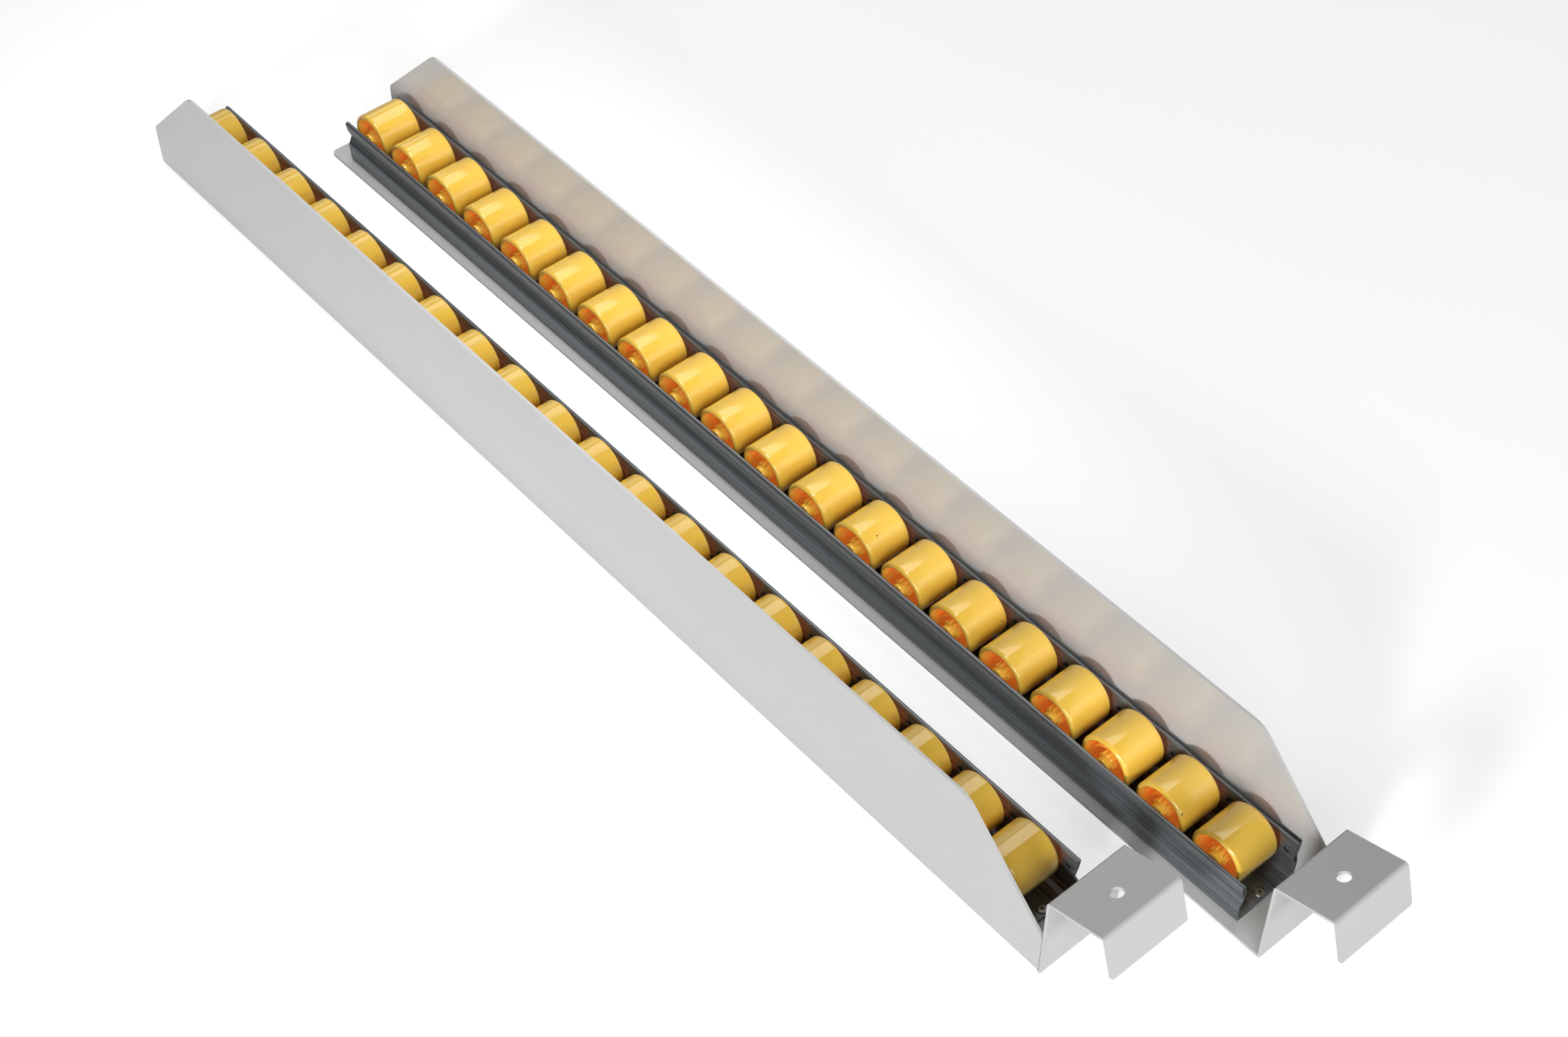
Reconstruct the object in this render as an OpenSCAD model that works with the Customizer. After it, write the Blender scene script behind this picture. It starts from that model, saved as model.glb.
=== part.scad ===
// Gravity roller conveyor lane: a left-hand and a right-hand roller rail.
// Each rail is a folded sheet tray with a side guide and an end hook, a roll-formed
// channel riveted into it, and a row of free-spinning plastic rollers on steel axles.
// X runs across the lane, Y along it away from the hooks, Z up. Millimetres.

/* [Lane] */
// Rollers in each rail
roller_count = 20; // [6:1:24]
// Distance from one roller axle to the next
roller_pitch = 33.333; // [32:0.001:40]
// Clear gap between the two trays
rail_gap = 31.2; // [20:0.1:200]
// How far the left rail lies behind the right one
left_setback = 55.4; // [0:0.1:60]

/* [Tray] */
// Outside width of the tray
tray_w = 44.7; // [44:0.1:60]
// Thickness of the tray's sheet
tray_t = 1.5; // [1:0.1:2]
// Height of the side guide
guide_h = 75; // [60:1:120]
// Length of the 45 degree cut on the guide's two top corners
guide_cut = 49; // [20:1:49]
// Radius where a cut meets the guide's top edge
cut_top_r = 13; // [2:1:16]
// Radius where a cut meets the guide's end edge
cut_end_r = 6; // [1:1:10]

/* [Hook] */
// Height of the end plate, up to its bend
end_plate_h = 51.5; // [45:0.5:60]
// Tilt of the hook plate above the rail's direction
hook_tilt = 17; // [5:1:25]
// Length of the hook plate, underside
hook_len = 30.5; // [25:0.5:60]
// Length of the down-turned lip, inner face
lip_len = 21.8; // [12:0.1:40]
// Radius of the lip's two corners
lip_corner_r = 1.5; // [1:0.5:10]
// Radius of the floor's free corner at the far end
floor_corner_r = 3; // [1:0.5:6]
// Diameter of the bolt hole in the hook plate
hook_hole_d = 6.6; // [5:0.1:9]
// Distance from the end plate's bend to the bolt hole
hook_hole_at = 16.8; // [12:0.1:18]

/* [Channel] */
// Thickness of the channel's sheet
channel_t = 0.9; // [0.8:0.1:1.0]
// Height of the channel
channel_h = 26; // [25.5:0.5:28]
// Distance from the end plate to the channel
channel_inset = 18.6; // [17:0.1:19]
// Channel left beyond the last roller's axle
channel_tail = 14.8; // [14:0.1:16]
// Height of the raised strip along the channel's floor
strip_rise = 1.0; // [0:0.1:1.2]

/* [Rollers] */
// Outside diameter of a roller
roller_d = 28.5; // [26:0.1:30]
// Width of a roller's shell
roller_w = 24.6; // [20:0.1:25]
// Thickness of the shell
shell_t = 2.3; // [1.5:0.1:3]
// Diameter of the hub
hub_d = 9.6; // [7:0.1:12]
// Diameter of an axle
axle_d = 3; // [2.5:0.1:3.4]
// Height of the axles above the tray's underside
axle_z = 21.5; // [21:0.1:22]
// Curved ribs on each side of a roller's web
rib_count = 6; // [3:1:8]

/* [Rivets] */
// Diameter of a rivet's shank
rivet_d = 3.2; // [2.4:0.1:3.4]
// Diameter of a rivet's dished upper head
rivet_head_d = 4.6; // [4:0.1:5.4]
// Rivets in each rail
rivet_count = 4; // [2:1:6]

/* [Hidden] */
SIDES = ["right", "left"];
function two_digits(i) = str(i < 10 ? "0" : "", i);
function roller_name(side, i) = str("roller_", side, "_", two_digits(i));

clear = 0.05;              // running clearance on a radius
eps = 0.1;                 // overrun of a cutting tool
fine = 72;                 // facets of a full circle
corner_steps = 10;         // steps of a rounded corner

bend_in = 0.5;             // inner radius of every tray bend
bend_out = bend_in + tray_t;
tray_in = rail_gap / 2;    // lane-side edge of a tray
tray_out = tray_in + tray_w;
rail_mid = tray_in + 22.9; // centre of the channel and its rollers
first_axle = 39.2;         // from the end plate to the first axle
tray_tail = 27.5;          // tray left beyond the last axle
axle_span = roller_pitch * (roller_count - 1);
tray_len = first_axle + axle_span + tray_tail;
relief = bend_out + 0.2;   // where the guide's bend starts, clear of the end plate's
guide_start = tray_t + 0.3;

hook_reach = hook_len * cos(hook_tilt) + lip_len * sin(hook_tilt) + tray_t * cos(hook_tilt);
lane_mid = (tray_len + left_setback - hook_reach) / 2;

strip_half = 6.5;          // half width of the raised strip in the channel's floor
// Outer face of the right half of the channel, from the edge of the inner leaf over the rim
// and down the wall to the raised strip in the floor: [half width, height, bend radius]
half_wall = [
    [14.4, 18.2, 0], [16.0, channel_h, 0.2], [18.4, channel_h, 0.2], [17.5, 20.3, 1.2], [15.7, 15.6, 1.2],
    [18.1, 10.5, 1.8], [17.6, 0, 0.8], [strip_half + strip_rise, 0, 0.6], [strip_half, strip_rise, 0.6]];
channel_len = first_axle - channel_inset + axle_span + channel_tail;
channel_end = channel_inset + channel_len;
hole_d = axle_d + 0.3;     // punched holes, one at each axle and one between
axle_len = 31.4;

rim_r = 2;                 // rounding of the shell's two outer rims
web_t = 1.8;
rib_t = 1.2;
rib_inset = 4.2;           // how far the ribs stay inside the rims
hub_len = 27.4;
bore_r = axle_d / 2 + clear;

rivet_at = channel_inset + 2.8;
rivet_gaps = [for (i = [0 : rivet_count - 1]) round(i * (roller_count - 1) / (rivet_count - 1))];

white = [0.86, 0.86, 0.87];
zinc = [0.55, 0.58, 0.60];
steel = [0.70, 0.71, 0.72];
yellow = [0.95, 0.74, 0.20];

// ---------- helpers ----------

// A rail is drawn on the right-hand side; the left one is its mirror image, set back.
module on_side(side) {
    if (side == "right") translate([0, -lane_mid, 0]) children();
    else translate([0, left_setback - lane_mid, 0]) mirror([1, 0, 0]) children();
}

// Stands a flat outline drawn as (y, z) up across the rail, from x0 over a width w.
module across(x0, w) {
    translate([x0, 0, 0]) rotate([90, 0, 90]) linear_extrude(w) children();
}

function unit(v) = v / norm(v);
function to_the_right(v) = [v[1], -v[0]];

// Points of the arc that rounds the corner at p between its neighbours, or p alone for radius 0.
function corner_arc(before, p, after, r) =
    let (a = unit(before - p), b = unit(after - p), half = acos(a * b) / 2)
    let (centre = p + r / sin(half) * unit(a + b), sweep = 180 - 2 * half)
    let (start = p + r / tan(half) * a - centre, side = sign(a[0] * b[1] - a[1] * b[0]))
    r == 0 ? [p] : [for (i = [0 : corner_steps])
        let (t = -side * sweep * i / corner_steps)
        centre + [start[0] * cos(t) - start[1] * sin(t), start[0] * sin(t) + start[1] * cos(t)]];

// Polygon whose corner i is rounded to radii[i].
module rounded_polygon(points, radii) {
    n = len(points);
    polygon([for (i = [0 : n - 1])
        each corner_arc(points[(i + n - 1) % n], points[i], points[(i + 1) % n], radii[i])]);
}

// Outline of a sheet of thickness t bent along a path of sharp corners. The path is the sheet's
// left face on the way, and each corner's inner face has the radius given for it.
module folded_sheet(path, t, radii) {
    last = len(path) - 1;
    dirs = [for (i = [0 : last - 1]) unit(path[i + 1] - path[i])];
    before = [for (i = [0 : last]) dirs[max(i - 1, 0)]];
    after = [for (i = [0 : last]) dirs[min(i, last - 1)]];
    right = [for (i = [0 : last]) cross(before[i], after[i]) < 0 ? 1 : 0];
    miters = [for (i = [0 : last]) t / (1 + before[i] * after[i]) * to_the_right(before[i] + after[i])];
    rounded_polygon(
        concat(path, [for (i = [last : -1 : 0]) path[i] + miters[i]]),
        concat([for (i = [0 : last]) radii[i] > 0 ? radii[i] + t * right[i] : 0],
            [for (i = [last : -1 : 0]) radii[i] > 0 ? radii[i] + t * (1 - right[i]) : 0]));
}

// Ring sector between two radii, from angle 0 to the given angle (under 180 degrees).
module ring_sector(r_in, r_out, angle) {
    far = 4 * r_out;
    intersection() {
        difference() {
            circle(r = r_out, $fn = fine);
            circle(r = r_in, $fn = fine);
        }
        polygon([[0, 0], [far, 0], far * [cos(angle / 2), sin(angle / 2)], far * [cos(angle), sin(angle)]]);
    }
}

// ---------- tray with its side guide and hook ----------

// Edge-on outline of the floor, end plate, hook plate and lip. The path is the fold's lower
// and outer face, from the floor's far end to the lip's tip.
function fold_path(floor_len) =
    let (hook_bend = [0, end_plate_h])
    let (lip_bend = hook_bend + hook_len * [-cos(hook_tilt), sin(hook_tilt)])
    [[floor_len, 0], [0, 0], hook_bend, lip_bend, lip_bend - lip_len * [sin(hook_tilt), cos(hook_tilt)]];

module tray_fold(floor_len) {
    folded_sheet(fold_path(floor_len), tray_t, [0, bend_in, bend_in, bend_in, 0]);
}

// Section of the bend between the floor and the side guide, drawn as (x, z).
module guide_bend() {
    rounded_polygon(
        [[tray_out - bend_out - 1, 0], [tray_out, 0], [tray_out, bend_out + 0.5],
         [tray_out - tray_t, bend_out + 0.5], [tray_out - tray_t, tray_t], [tray_out - bend_out - 1, tray_t]],
        [0, bend_out, 0, 0, bend_in, 0]);
}

module guide_outline() {
    low = guide_h - guide_cut;
    rounded_polygon(
        [[relief, bend_out], [tray_len, bend_out], [tray_len, low], [tray_len - guide_cut, guide_h],
         [guide_start + guide_cut, guide_h], [guide_start, low], [guide_start, bend_out + 0.4],
         [relief, bend_out + 0.4]],
        [0, 0, cut_end_r, cut_top_r, cut_top_r, cut_end_r, 0, 0]);
}

// Cuts away what lies outside a rounded sheet corner whose two edges run along +X and +Y.
module corner_cut(r) {
    translate([0, 0, -2 * tray_t]) linear_extrude(4 * tray_t) difference() {
        translate([-eps, -eps]) square(r + eps);
        translate([r, r]) circle(r = r, $fn = fine);
    }
}

// Rounds the two corners of the lip and the floor's free corner.
module sheet_corner_cuts() {
    tip = fold_path(tray_len)[4];
    translate([0, tip[0], tip[1]]) rotate([90 - hook_tilt, 0, 0]) {
        translate([tray_in, 0, 0]) corner_cut(lip_corner_r);
        translate([tray_out, 0, 0]) rotate(90) corner_cut(lip_corner_r);
    }
    translate([tray_in, tray_len, 0]) rotate(-90) corner_cut(floor_corner_r);
}

module guide() {
    color(white) difference() {
        union() {
            across(tray_in, tray_w - bend_out) tray_fold(tray_len);
            across(tray_out - bend_out - 1, bend_out + 1) tray_fold(relief);
            across(tray_out - tray_t, tray_t) guide_outline();
            translate([0, tray_len, 0]) rotate([90, 0, 0]) linear_extrude(tray_len - relief) guide_bend();
        }
        sheet_corner_cuts();
        translate([tray_in + tray_w / 2, 0, end_plate_h]) rotate([-hook_tilt, 0, 0])
            translate([0, -hook_hole_at, -tray_t]) cylinder(d = hook_hole_d, h = 3 * tray_t, $fn = fine);
        at_rivets() rivet_countersink(clear);
    }
}

// ---------- channel ----------

module channel_outline() {
    left_wall = [for (i = [len(half_wall) - 1 : -1 : 0]) half_wall[i]];
    folded_sheet(
        concat([for (p = half_wall) [p[0], p[1]]], [for (p = left_wall) [-p[0], p[1]]]), channel_t,
        [for (p = concat(half_wall, left_wall)) p[2]]);
}

module channel() {
    color(zinc) difference() {
        translate([rail_mid, channel_end, tray_t]) rotate([90, 0, 0])
            linear_extrude(channel_len) channel_outline();
        for (i = [0 : 2 * roller_count - 1])
            translate([rail_mid, first_axle + (i - 1) * roller_pitch / 2, axle_z])
                rotate([0, 90, 0]) cylinder(d = hole_d, h = axle_len, center = true, $fn = 36);
        at_rivets() cylinder(r = rivet_d / 2 + clear, h = 10, $fn = 36);
    }
}

// ---------- axles and rivets ----------

module axles() {
    color(steel) for (i = [0 : roller_count - 1])
        translate([rail_mid, first_axle + i * roller_pitch, axle_z])
            rotate([0, 90, 0]) cylinder(d = axle_d, h = axle_len, center = true, $fn = 36);
}

module at_rivets() {
    for (gap = rivet_gaps) translate([rail_mid, rivet_at + gap * roller_pitch, 0]) children();
}

// Shank and flush lower head, grown by a clearance when used as the tray's countersink.
module rivet_countersink(gap) {
    drop = gap > 0 ? eps : 0;
    sink = 1.0;
    translate([0, 0, -drop]) cylinder(r = rivet_d / 2 + gap, h = 2 * tray_t + drop, $fn = 36);
    translate([0, 0, -drop]) cylinder(r = rivet_d / 2 + sink + gap, h = drop + 0.01, $fn = 36);
    cylinder(r1 = rivet_d / 2 + sink + gap, r2 = rivet_d / 2 + gap, h = sink, $fn = 36);
}

// Semi-tubular rivet: flush head under the tray, rolled ring head inside the channel.
module rivet() {
    top = tray_t + strip_rise + channel_t;
    head_h = 0.9;
    difference() {
        union() {
            translate([0, 0, 0.05]) rivet_countersink(0);
            cylinder(d = rivet_d, h = top + head_h / 2, $fn = 36);
            translate([0, 0, top]) rotate_extrude($fn = 36) {
                translate([rivet_d / 4, 0]) square([rivet_head_d / 2 - rivet_d / 4 - head_h / 2, head_h]);
                translate([rivet_head_d / 2 - head_h / 2, head_h / 2]) circle(d = head_h, $fn = 24);
            }
        }
        translate([0, 0, top - 0.6]) cylinder(d = rivet_d - 1.3, h = 3, $fn = 36);
        translate([0, 0, -eps]) cylinder(d = 2 * rivet_d, h = eps + 0.05, $fn = 36);
    }
}

module rivets() {
    color(steel) at_rivets() rivet();
}

// ---------- roller ----------

// Half section of the shell, web and hub, drawn as (radius, along the axle).
module roller_section() {
    r = roller_d / 2;
    w = roller_w / 2;
    rounded_polygon([[r - shell_t, -w], [r, -w], [r, w], [r - shell_t, w]], [0, rim_r, rim_r, 0]);
    translate([bore_r, -hub_len / 2]) square([hub_d / 2 - bore_r, hub_len]);
    translate([hub_d / 2 - 0.5, -web_t / 2]) square([r - shell_t - hub_d / 2 + 1, web_t]);
}

// One rib, an arc that leaves the hub square and meets the shell at a slant.
module rib_outline() {
    arc_r = 8.5;
    intersection() {
        difference() {
            circle(r = roller_d / 2 - shell_t + 0.4, $fn = fine);
            circle(r = hub_d / 2 - 0.4, $fn = fine);
        }
        translate([0, arc_r]) rotate(-90) ring_sector(arc_r - rib_t / 2, arc_r + rib_t / 2, 100);
    }
}

module roller() {
    color(yellow) rotate([0, 90, 0]) {
        rotate_extrude($fn = fine) roller_section();
        for (i = [0 : rib_count - 1]) rotate(i * 360 / rib_count)
            translate([0, 0, rib_inset - roller_w / 2]) linear_extrude(roller_w - 2 * rib_inset) rib_outline();
    }
}

// ---------- the lane ----------

for (side = SIDES) {
    on_side(side) guide();
    on_side(side) channel();
    on_side(side) axles();
    on_side(side) rivets();
    for (i = [1 : roller_count])
        on_side(side)
            translate([rail_mid, first_axle + (i - 1) * roller_pitch, axle_z]) roller();
}
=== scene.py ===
"""Looks for a gravity roller lane: two folded guide trays, each with a roll-formed channel
of free-spinning yellow rollers. Metres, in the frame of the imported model."""

import math

import bmesh
import bpy
from mathutils import Matrix, Vector


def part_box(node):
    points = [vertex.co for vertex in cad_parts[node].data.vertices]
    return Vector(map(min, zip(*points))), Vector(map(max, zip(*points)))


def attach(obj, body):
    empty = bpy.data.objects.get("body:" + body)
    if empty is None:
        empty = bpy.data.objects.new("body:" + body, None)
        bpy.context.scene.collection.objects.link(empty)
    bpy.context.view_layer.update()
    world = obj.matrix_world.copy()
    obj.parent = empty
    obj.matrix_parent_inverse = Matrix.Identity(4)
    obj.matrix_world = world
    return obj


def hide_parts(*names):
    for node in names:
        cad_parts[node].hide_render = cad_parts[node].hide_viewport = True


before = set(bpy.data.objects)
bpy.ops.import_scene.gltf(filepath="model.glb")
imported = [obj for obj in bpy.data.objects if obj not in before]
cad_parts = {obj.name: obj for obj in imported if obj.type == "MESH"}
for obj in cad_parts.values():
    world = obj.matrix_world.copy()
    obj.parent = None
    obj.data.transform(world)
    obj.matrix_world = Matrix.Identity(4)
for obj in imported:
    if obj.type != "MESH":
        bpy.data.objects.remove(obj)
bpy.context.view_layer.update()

MM = 0.001  # the sizes below are in millimetres
SIDES = ("right", "left")
ROLLERS_PER_RAIL = sum(name.startswith("roller_right_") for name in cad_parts)
EDGE_R = 0.3  # rounding of the trays' cut edges

# A roller's sizes. R is a radius, HALF a distance along the axle from its middle.
SHELL_R = 14.25
SHELL_INNER_R = 12.0
SHELL_HALF = 12.3
RIM_R = 1.6  # the rim's outer rounding
LIP_R = 0.75  # and its inner one
WEB_HALF = 0.9
HUB_R = 3.5
HUB_FOOT_R = 5.6
HUB_HALF = 13.7
BORE_R = 1.55
FINS = 10
FIN_H = 1.15
FIN_HALF = 10.6
RIBS = 6
RIB_T = 0.9
RIB_SWEEP = math.radians(58)
TURN_STEPS = 160
REST_TURN = 2.399  # radians from one roller to the next, so that no neighbours lie alike


# ---------- materials ----------


class Shader:
    """A material's node tree, with short ways to add and link nodes."""

    def __init__(self, name):
        self.material = bpy.data.materials.new(name)
        self.material.use_nodes = True
        self.tree = self.material.node_tree
        self.surface = self.tree.nodes["Principled BSDF"]

    def node(self, kind, settings=None, **inputs):
        """Adds a node; inputs are named as on its sockets, with _ for a space."""
        made = self.tree.nodes.new("ShaderNode" + kind)
        for key, value in (settings or {}).items():
            setattr(made, key, value)
        for key, value in inputs.items():
            self.feed(made.inputs[key.replace("_", " ")], value)
        return made

    def feed(self, socket, value):
        """Links a socket to another one, or sets it to a constant."""
        if isinstance(value, bpy.types.NodeSocket):
            self.tree.links.new(value, socket)
        else:
            socket.default_value = value

    def set(self, **inputs):
        """Feeds the surface shader's own sockets, named as in node()."""
        for key, value in inputs.items():
            self.feed(self.surface.inputs[key.replace("_", " ")], value)

    def place(self, stretch=(1, 1, 1)):
        """Where a point lies on its object, times stretch, and elsewhere for every object."""
        coords = self.node("TexCoord").outputs["Object"]
        own = self.node("ObjectInfo").outputs["Random"]
        apart = self.node("VectorMath", {"operation": "SCALE"}, Scale=own)
        self.feed(apart.inputs[0], (1, 1, 1))
        moved = self.node("VectorMath", {"operation": "ADD"})
        self.feed(moved.inputs[0], coords)
        self.feed(moved.inputs[1], apart.outputs[0])
        return self.node("Mapping", Vector=moved.outputs[0], Scale=stretch).outputs[0]

    def math(self, operation, a, b=0.0):
        """A Math node's operation on one or two numbers."""
        made = self.node("Math", {"operation": operation})
        self.feed(made.inputs[0], a)
        self.feed(made.inputs[1], b)
        return made.outputs[0]

    def noise(self, scale, detail, stretch=(1, 1, 1), rough=0.5):
        """Cloudy noise from 0 to 1, with scale clouds to the metre where stretch is 1."""
        where = self.place(stretch)
        made = self.node("TexNoise", Vector=where, Scale=scale, Detail=detail, Roughness=rough)
        return made.outputs["Fac"]

    def ramp(self, factor, *stops):
        """Maps a factor through (position, grey or colour) stops."""
        ramp = self.node("ValToRGB", Fac=factor)
        points = ramp.color_ramp.elements
        while len(points) < len(stops):
            points.new(0.5)
        for point, (position, value) in zip(points, stops):
            point.position = position
            grey = not isinstance(value, tuple)
            point.color = (value, value, value, 1) if grey else (*value, 1)
        return ramp.outputs["Color"]

    def mix(self, factor, a, b):
        """Goes from colour a to colour b as the factor goes from 0 to 1."""
        mixed = self.node("Mix", {"data_type": "RGBA"})
        self.feed(mixed.inputs["Factor"], factor)
        colour_a, colour_b, result = mixed.inputs[6], mixed.inputs[7], mixed.outputs[2]
        for socket, value in ((colour_a, a), (colour_b, b)):
            self.feed(socket, (*value, 1) if isinstance(value, tuple) else value)
        return result

    def bump(self, height, strength, distance, under=None):
        """Relief in the surface, laid over the normals under it where they are given."""
        made = self.node("Bump", Height=height, Strength=strength, Distance=distance)
        if under is not None:
            self.feed(made.inputs["Normal"], under)
        return made.outputs["Normal"]


def powder_coat():
    """Off-white powder coat: faintly cloudy, softly glossy, with fine grain and orange peel."""
    s = Shader("powder_coat")
    cloud = s.ramp(s.noise(9.0, 4.0), (0.35, 0.0), (0.7, 1.0))
    s.set(Base_Color=s.mix(cloud, (0.585, 0.585, 0.58), (0.605, 0.605, 0.605)))
    s.set(Roughness=s.ramp(s.noise(60.0, 3.0), (0.3, 0.20), (0.7, 0.24)))
    grain = s.bump(s.noise(1500.0, 2.0), 0.06, 0.0001)
    s.set(Normal=s.bump(s.noise(260.0, 2.0), 0.012, 0.0003, grain), IOR=1.5)
    return s.material


def galvanised():
    """Roll-formed zinc-coated sheet: rolling streaks along the lane under duller clouds."""
    s = Shader("galvanised_sheet")
    streak = s.noise(800.0, 4.0, (1, 0.003, 1), 0.7)
    cloud = s.ramp(s.noise(35.0, 4.0, (1, 0.25, 1)), (0.4, 0.0), (0.75, 0.5))
    lines = s.ramp(streak, (0.3, 0.0), (0.72, 1.0))
    rolled = s.mix(lines, (0.075, 0.085, 0.092), (0.36, 0.39, 0.41))
    s.set(Base_Color=s.mix(cloud, rolled, (0.20, 0.21, 0.215)), Metallic=0.7)
    s.set(Roughness=s.ramp(streak, (0.3, 0.30), (0.7, 0.46)))
    s.set(Normal=s.bump(streak, 0.25, 0.0003))
    return s.material


def drawn_steel():
    """Bright drawn wire of the axles, with fine scratches along it."""
    s = Shader("axle_steel")
    scratch = s.noise(900.0, 3.0, (0.05, 1, 1))
    s.set(Base_Color=(0.62, 0.62, 0.61, 1), Metallic=1.0)
    s.set(Roughness=s.ramp(scratch, (0.3, 0.18), (0.7, 0.36)), Normal=s.bump(scratch, 0.1, 0.00005))
    return s.material


def plated_steel():
    """Dull zinc plating of the rivets."""
    s = Shader("rivet_steel")
    cloud = s.noise(700.0, 4.0)
    s.set(Base_Color=s.ramp(cloud, (0.3, (0.40, 0.40, 0.38)), (0.7, (0.58, 0.58, 0.56))))
    s.set(Metallic=1.0, Roughness=s.ramp(cloud, (0.3, 0.3), (0.7, 0.5)))
    s.set(Normal=s.bump(cloud, 0.15, 0.0001))
    return s.material


def moulded_yellow():
    """Glossy moulded plastic: warm yellow with flow marks and a few dark specks. Well inside the
    shell it is painted a darker orange and faintly glowing by emission: painted light that has
    bounced round inside the shell and passed through its wall."""
    s = Shader("roller_plastic")
    flow = s.ramp(s.noise(120.0, 3.0, (0.35, 1, 1)), (0.3, 0.0), (0.75, 1.0))
    skin = s.mix(flow, (0.99, 0.62, 0.08), (1.0, 0.645, 0.095))

    local = s.node("TexCoord").outputs["Object"]
    along = s.math("ABSOLUTE", s.node("SeparateXYZ", Vector=local).outputs["X"])
    across = s.node("VectorMath", {"operation": "MULTIPLY"})
    s.feed(across.inputs[0], local)
    s.feed(across.inputs[1], (0, 1, 1))
    radius = s.node("VectorMath", {"operation": "LENGTH"})
    s.feed(radius.inputs[0], across.outputs[0])
    inside = s.math("LESS_THAN", radius.outputs["Value"], (SHELL_INNER_R + 0.15) * MM)
    mouth, full_depth = (SHELL_HALF - 0.6) * MM, 6.0 * MM
    fade = {"interpolation_type": "SMOOTHSTEP"}
    depth = s.node("MapRange", fade, Value=along, From_Min=mouth, From_Max=full_depth)
    # painted bounce light and shade: a mask from 0 at the shell's mouth to 1 well inside it
    painted_light_depth = s.math("MULTIPLY", inside, depth.outputs["Result"])
    # painted darker orange well inside the shell, standing in for light bounced round inside it
    base = s.mix(painted_light_depth, skin, (0.96, 0.45, 0.07))

    cells = s.node("TexVoronoi", Vector=s.place(), Scale=130.0)
    near = s.math("LESS_THAN", cells.outputs["Distance"], 0.055)
    chance = s.node("SeparateColor", Color=cells.outputs["Color"]).outputs["Red"]
    speck = s.math("MULTIPLY", near, s.math("LESS_THAN", chance, 0.10))
    s.set(Base_Color=s.mix(speck, base, (0.10, 0.05, 0.01)))

    s.set(Roughness=s.ramp(s.noise(300.0, 3.0), (0.3, 0.16), (0.75, 0.24)))
    s.set(Subsurface_Weight=0.2, Subsurface_Radius=(1.0, 0.35, 0.08), Subsurface_Scale=0.0015)
    # painted glowing: faint emission on faces inside the shell, standing in for light passed
    # through its wall
    painted_glow = s.mix(painted_light_depth, (0.9, 0.52, 0.06), (1.0, 0.36, 0.06))
    s.set(Emission_Color=s.mix(inside, (0, 0, 0), painted_glow), Emission_Strength=0.12)
    s.set(Normal=s.bump(s.noise(420.0, 2.0), 0.012, 0.0002), IOR=1.5)
    s.set(Coat_Weight=1.0, Coat_Roughness=0.08)
    return s.material


def pale_floor():
    """Studio floor that only the camera sees lit up: it stays pale round the soft shadows, and
    sends no more light up at the lane than a plain one."""
    s = Shader("studio_floor")
    s.set(Base_Color=(0.75, 0.75, 0.75, 1), Roughness=0.9, Specular_IOR_Level=0.0)
    seen = s.math("MULTIPLY", s.node("LightPath").outputs["Is Camera Ray"], 0.52)
    s.set(Emission_Color=(1.0, 1.0, 1.0, 1), Emission_Strength=seen)
    return s.material


# ---------- mesh helpers ----------


def new_piece(name, mesh, material):
    """Links a mesh as a piece with one material, in the mesh's first slot."""
    piece = bpy.data.objects.new(name, mesh)
    bpy.context.scene.collection.objects.link(piece)
    if not mesh.materials:  # the rollers share one mesh
        mesh.materials.append(material)
    return piece


def shade_smooth(mesh, angle):
    """Smooth shading, with creases wherever the surface turns by more than angle degrees."""
    for face in mesh.polygons:
        face.use_smooth = True
    mesh.set_sharp_from_angle(angle=math.radians(angle))


def softened(node, width):
    """A copy of a CAD node's mesh whose sharp sheet edges are rounded."""
    work = bmesh.new()
    work.from_mesh(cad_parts[node].data)
    bmesh.ops.remove_doubles(work, verts=work.verts, dist=1e-6)
    flat, corner = math.radians(0.5), math.radians(40)
    bmesh.ops.dissolve_limit(work, angle_limit=flat, verts=work.verts, edges=work.edges)
    between = (edge for edge in work.edges if len(edge.link_faces) == 2)
    sharp = [edge for edge in between if edge.calc_face_angle() > corner]
    bmesh.ops.bevel(
        work, geom=sharp, offset=width, segments=2, profile=0.5, affect="EDGES", clamp_overlap=True
    )
    mesh = bpy.data.meshes.new(node + "_soft")
    work.to_mesh(mesh)
    work.free()
    shade_smooth(mesh, 30)
    return mesh


def keep_faces_flat(piece):
    """Lets the large faces set the shading, so that rounded edges don't bend it across them."""
    flat = piece.modifiers.new("flat_faces", "WEIGHTED_NORMAL")
    flat.weight = 100
    flat.keep_sharp = True


# ---------- roller ----------


def arc(cx, cr, radius, start, end, steps):
    """Points of an arc in the roller's section, angles in degrees from the axle's direction."""
    angles = (math.radians(start + (end - start) * i / steps) for i in range(steps + 1))
    return [(cx + radius * math.cos(a), cr + radius * math.sin(a)) for a in angles]


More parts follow.
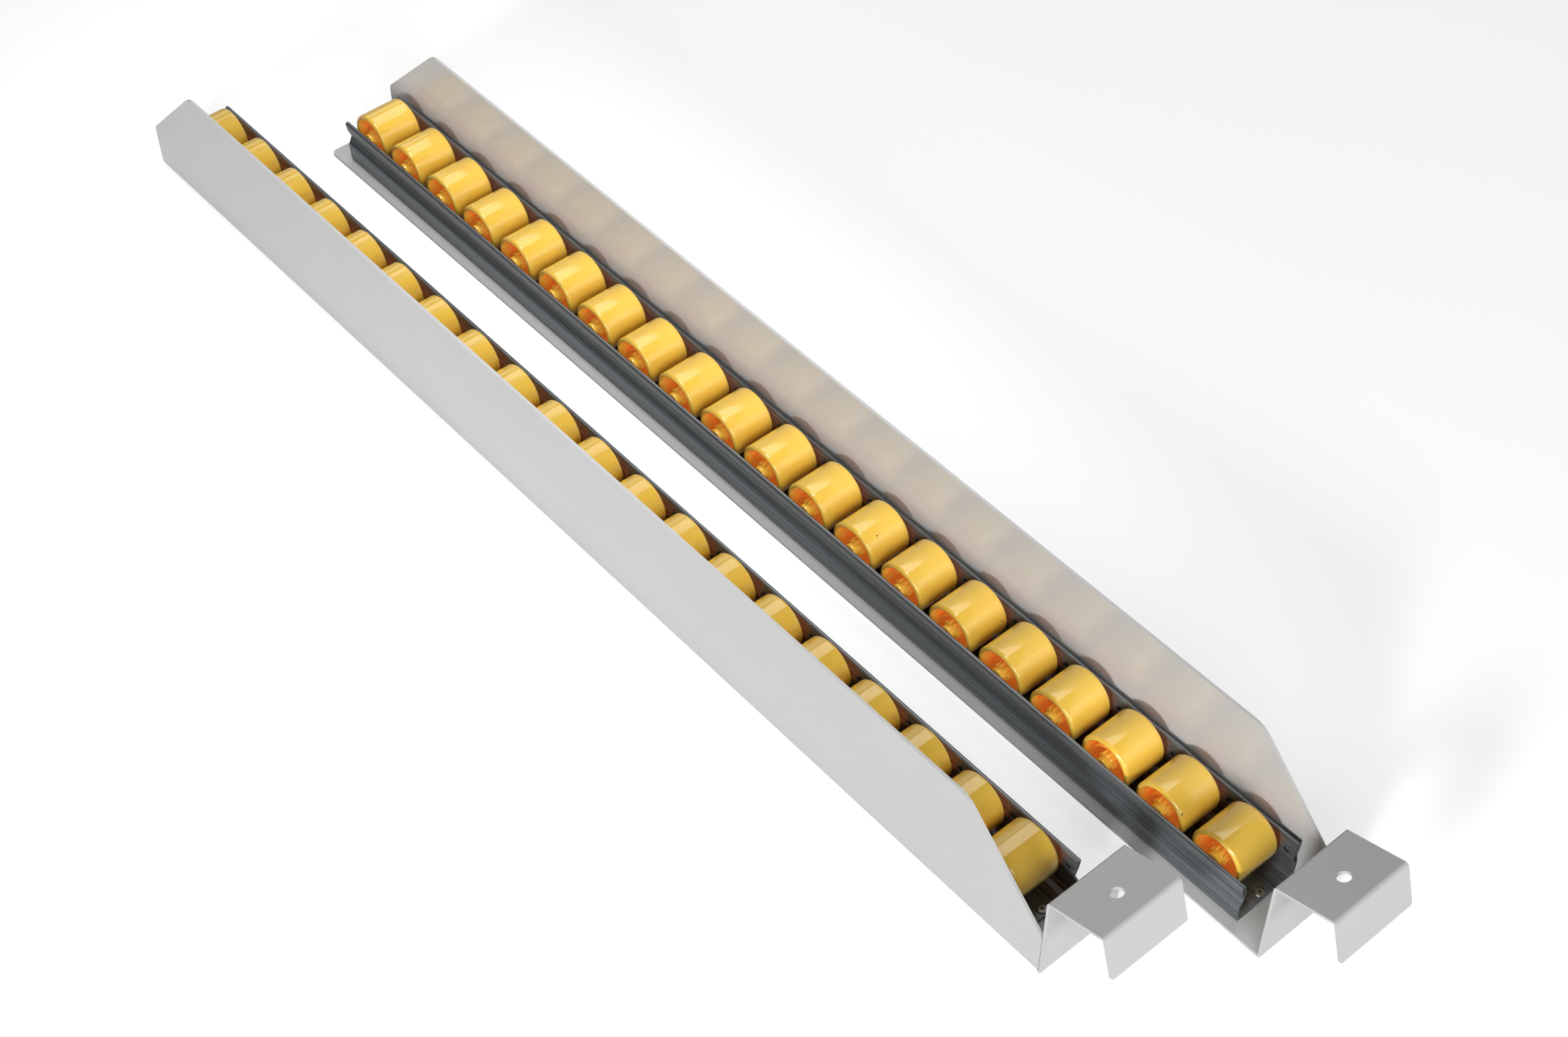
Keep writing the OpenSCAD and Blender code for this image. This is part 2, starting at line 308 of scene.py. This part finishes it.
def half_section():
    """Half of a roller's section, from the shell's middle round to the bore's. Each point is
    (distance along the axle, radius, how much the hub's fins add to it)."""
    shell = [(0, SHELL_R), (SHELL_HALF - RIM_R - 0.5, SHELL_R)]
    shell += arc(SHELL_HALF - RIM_R, SHELL_R - RIM_R, RIM_R, 90, 0, 8)
    shell += arc(SHELL_HALF - LIP_R, SHELL_INNER_R + LIP_R, LIP_R, 0, -90, 4)

    root, foot = 1.4, 1.3  # the web's roundings, into the shell and into the hub
    drafted = SHELL_INNER_R - 0.45  # the shell's inside narrows a little towards the web
    web = [(SHELL_HALF - 3.2, SHELL_INNER_R - 0.15), (WEB_HALF + 2.2, drafted)]
    web += arc(WEB_HALF + root, drafted - root, root, 90, 180, 4)
    web += arc(WEB_HALF + foot, HUB_FOOT_R + foot, foot, 180, 270, 4)

    cone, shoulder = WEB_HALF + 2.4, WEB_HALF + 3.2
    hub = [(cone, HUB_FOOT_R - 0.2, 0), (shoulder, HUB_R, 0.3), (shoulder + 0.1, HUB_R, 1)]
    hub += [(FIN_HALF - 0.25, HUB_R, 1), (FIN_HALF, HUB_R, 0.8), (FIN_HALF + 0.02, HUB_R, 0)]
    hub += [(HUB_HALF - 0.5, HUB_R - 0.1, 0), (HUB_HALF - 0.15, HUB_R - 0.22, 0)]
    hub += [(HUB_HALF, HUB_R - 0.6, 0), (HUB_HALF, BORE_R + 0.5, 0)]
    hub += [(HUB_HALF - 0.5, BORE_R, 0), (0, BORE_R, 0)]
    return [(x, r, 0) for x, r in shell + web] + hub


def fin_height(turn):
    """How far the hub's fins stand out at an angle, from 0 between two fins to 1 on one."""
    steepness, halfway = 16, 0.45  # of a fin's flank, and the cosine where it is half up
    return 1 / (1 + math.exp(steepness * (halfway - math.cos(FINS * turn))))


def revolve(work, section):
    """Turns a closed section about the X axis, with the fins raised from it."""
    rings = []
    for k in range(TURN_STEPS):
        turn = 2 * math.pi * k / TURN_STEPS
        ring = []
        for x, r, fin in section:
            r += fin * FIN_H * fin_height(turn)
            ring.append(work.verts.new((x * MM, r * MM * math.cos(turn), r * MM * math.sin(turn))))
        rings.append(ring)
    count = len(section)
    for k, ring in enumerate(rings):
        following = rings[(k + 1) % TURN_STEPS]
        for i in range(count):
            j = (i + 1) % count
            work.faces.new((ring[i], ring[j], following[j], following[i]))


def add_rib(work, start, side):
    """One curved rib that stands on the web between the hub and the shell, on one side. It
    climbs towards the shell, and is thinnest halfway."""
    steps = 14
    sunk, rounding = 0.3, 0.3
    inner, outer = HUB_R - sunk, SHELL_INNER_R - 0.1
    root = WEB_HALF - sunk
    columns = []
    for i in range(steps + 1):
        u = i / steps
        r = inner + (outer - inner) * u
        turn = start + side * RIB_SWEEP * u**1.4
        top = WEB_HALF + 6.0 + 3.2 * u**2
        half = 0.5 * RIB_T * (1 - 0.25 * math.sin(math.pi * u))
        middle = Vector((0, math.cos(turn), math.sin(turn))) * r
        sideways = Vector((0, -math.sin(turn), math.cos(turn)))
        outline = [(-half, root), (-half * 0.8, top - rounding), (-half * 0.35, top)]
        outline += [(half * 0.35, top), (half * 0.8, top - rounding), (half, root)]
        points = [middle + sideways * w + Vector((side * x, 0, 0)) for w, x in outline]
        columns.append([work.verts.new(point * MM) for point in points])
    for a, b in zip(columns, columns[1:]):
        for i in range(len(a)):
            j = (i + 1) % len(a)
            work.faces.new((a[i], a[j], b[j], b[i]))
    work.faces.new(columns[0])
    work.faces.new(columns[-1][::-1])


def roller_mesh():
    """Moulded roller about the X axis: shell with rolled rims, web, curved ribs, finned hub."""
    half = half_section()
    mirrored = [(-x, r, fin) for x, r, fin in reversed(half[1:-1])]
    work = bmesh.new()
    revolve(work, half + mirrored)
    for side in (1, -1):
        for i in range(RIBS):
            add_rib(work, 2 * math.pi * (i + 0.25 * side) / RIBS, side)
    bmesh.ops.recalc_face_normals(work, faces=work.faces)
    mesh = bpy.data.meshes.new("roller")
    work.to_mesh(mesh)
    work.free()
    shade_smooth(mesh, 38)
    return mesh


def place_rollers(material):
    """One moulded roller in place of each CAD one, at its own angle on the axle."""
    mesh = roller_mesh()
    for side in SIDES:
        for i in range(1, ROLLERS_PER_RAIL + 1):
            node = f"roller_{side}_{i:02d}"
            low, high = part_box(node)
            piece = new_piece(f"moulded_{node}", mesh, material)
            spin = Matrix.Rotation(REST_TURN * i, 4, "X")
            facing = Matrix.Rotation(math.pi if side == "left" else 0, 4, "Z")
            piece.matrix_world = Matrix.Translation((low + high) / 2) @ facing @ spin
            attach(piece, node)
            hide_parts(node)


# ---------- camera, floor and light ----------


def place_camera():
    """The viewpoint: above and in front of the hooks, on the left of the lane."""
    camera = bpy.data.objects.new("camera", bpy.data.cameras.new("camera"))
    bpy.context.scene.collection.objects.link(camera)
    camera.data.sensor_width = 36
    camera.data.lens = 59.05
    camera.data.clip_start, camera.data.clip_end = 0.05, 50
    look = Vector((0.43566, 0.50789, -0.74314)).to_track_quat("-Z", "Y")
    roll = Matrix.Rotation(math.radians(-0.2), 3, "Z").to_quaternion()
    camera.rotation_mode = "QUATERNION"
    camera.rotation_quaternion = look @ roll
    camera.location = (-0.5231, -0.6775, 0.9391)
    bpy.context.scene.camera = camera


def add_floor(material):
    """The studio floor, a hair under the trays so that the two don't share a plane."""
    size, under = 8.0, -0.2 * MM
    mesh = bpy.data.meshes.new("floor")
    corners = [(-size, -size), (size, -size), (size, size), (-size, size)]
    mesh.from_pydata([(x, y, under) for x, y in corners], [], [(0, 1, 2, 3)])
    mesh.materials.append(material)
    floor = bpy.data.objects.new("floor", mesh)
    bpy.context.scene.collection.objects.link(floor)


def add_softbox(name, towards, distance, size, level, along=(0, 0, 1), aim=(0, 0, 0), spread=180):
    """A rectangular light at a distance towards one side of the point aim, which it faces.
    level is how bright it alone makes a white surface there, along is the direction of the
    box's second side, and spread is the full angle of its beam in degrees."""
    half = math.radians(spread) / 2
    gathered = math.tan(half) / (math.tan(half) - half) if spread < 180 else 1
    lamp = bpy.data.lights.new(name, "AREA")
    lamp.shape = "RECTANGLE"
    lamp.size, lamp.size_y = size
    lamp.spread = 2 * half
    lamp.energy = level * (math.pi * distance) ** 2 / gathered
    light = bpy.data.objects.new(name, lamp)
    bpy.context.scene.collection.objects.link(light)
    back = Vector(towards).normalized()
    across = Vector(along).cross(back).normalized()
    turned = Matrix((across, back.cross(across), back)).transposed()
    light.matrix_world = Matrix.Translation(Vector(aim) + back * distance) @ turned.to_4x4()


def light_the_scene():
    """A dim sky, a key light from the left, two fills in front, a box overhead on the right and
    a dim panel behind that reflect along the rollers, and a narrow beam down on the lane."""
    world = bpy.data.worlds.new("studio")
    bpy.context.scene.world = world
    world.use_nodes = True
    sky = world.node_tree.nodes["Background"]
    sky.inputs["Color"].default_value = (0.95, 0.97, 1.0, 1)
    sky.inputs["Strength"].default_value = 0.05
    add_softbox("key", (-0.84, -0.38, 0.36), 2.8, (0.42, 0.42), 0.58)
    add_softbox("front", (-0.42, -0.74, 0.52), 2.2, (0.9, 0.8), 0.32)
    add_softbox("low_front", (0.0, -0.97, 0.25), 2.2, (1.0, 0.6), 0.24)
    add_softbox("overhead", (0.47, 0.36, 0.81), 2.1, (0.6, 1.6), 0.14, along=(0, 1, 0))
    add_softbox("back", (0.42, 0.82, 0.38), 2.4, (2.4, 0.9), 0.09)
    beam = {"along": (0, 1, 0), "aim": (0, 0.15, 0), "spread": 34}
    add_softbox("lane", (0, 0, 1), 1.0, (0.15, 0.6), 1.2, **beam)
    bpy.context.scene.view_settings.view_transform = "Standard"


# ---------- the lane ----------


def dress_cad_nodes(looks):
    """Gives each carried-over CAD node the finished material listed for its name's start."""
    for name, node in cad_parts.items():
        for start, material in looks.items():
            if name.startswith(start):
                node.data.materials.clear()
                node.data.materials.append(material)


def place_trays(material):
    """The folded trays with their sheet edges rounded, in place of the CAD ones."""
    for side in SIDES:
        node = f"guide_{side}"
        piece = new_piece(f"coated_tray_{side}", softened(node, EDGE_R * MM), material)
        keep_faces_flat(piece)
        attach(piece, f"{side}_rail")
        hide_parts(node)


place_camera()
add_floor(pale_floor())
light_the_scene()
dress_cad_nodes({"channel": galvanised(), "axles": drawn_steel(), "rivets": plated_steel()})
place_trays(powder_coat())
place_rollers(moulded_yellow())
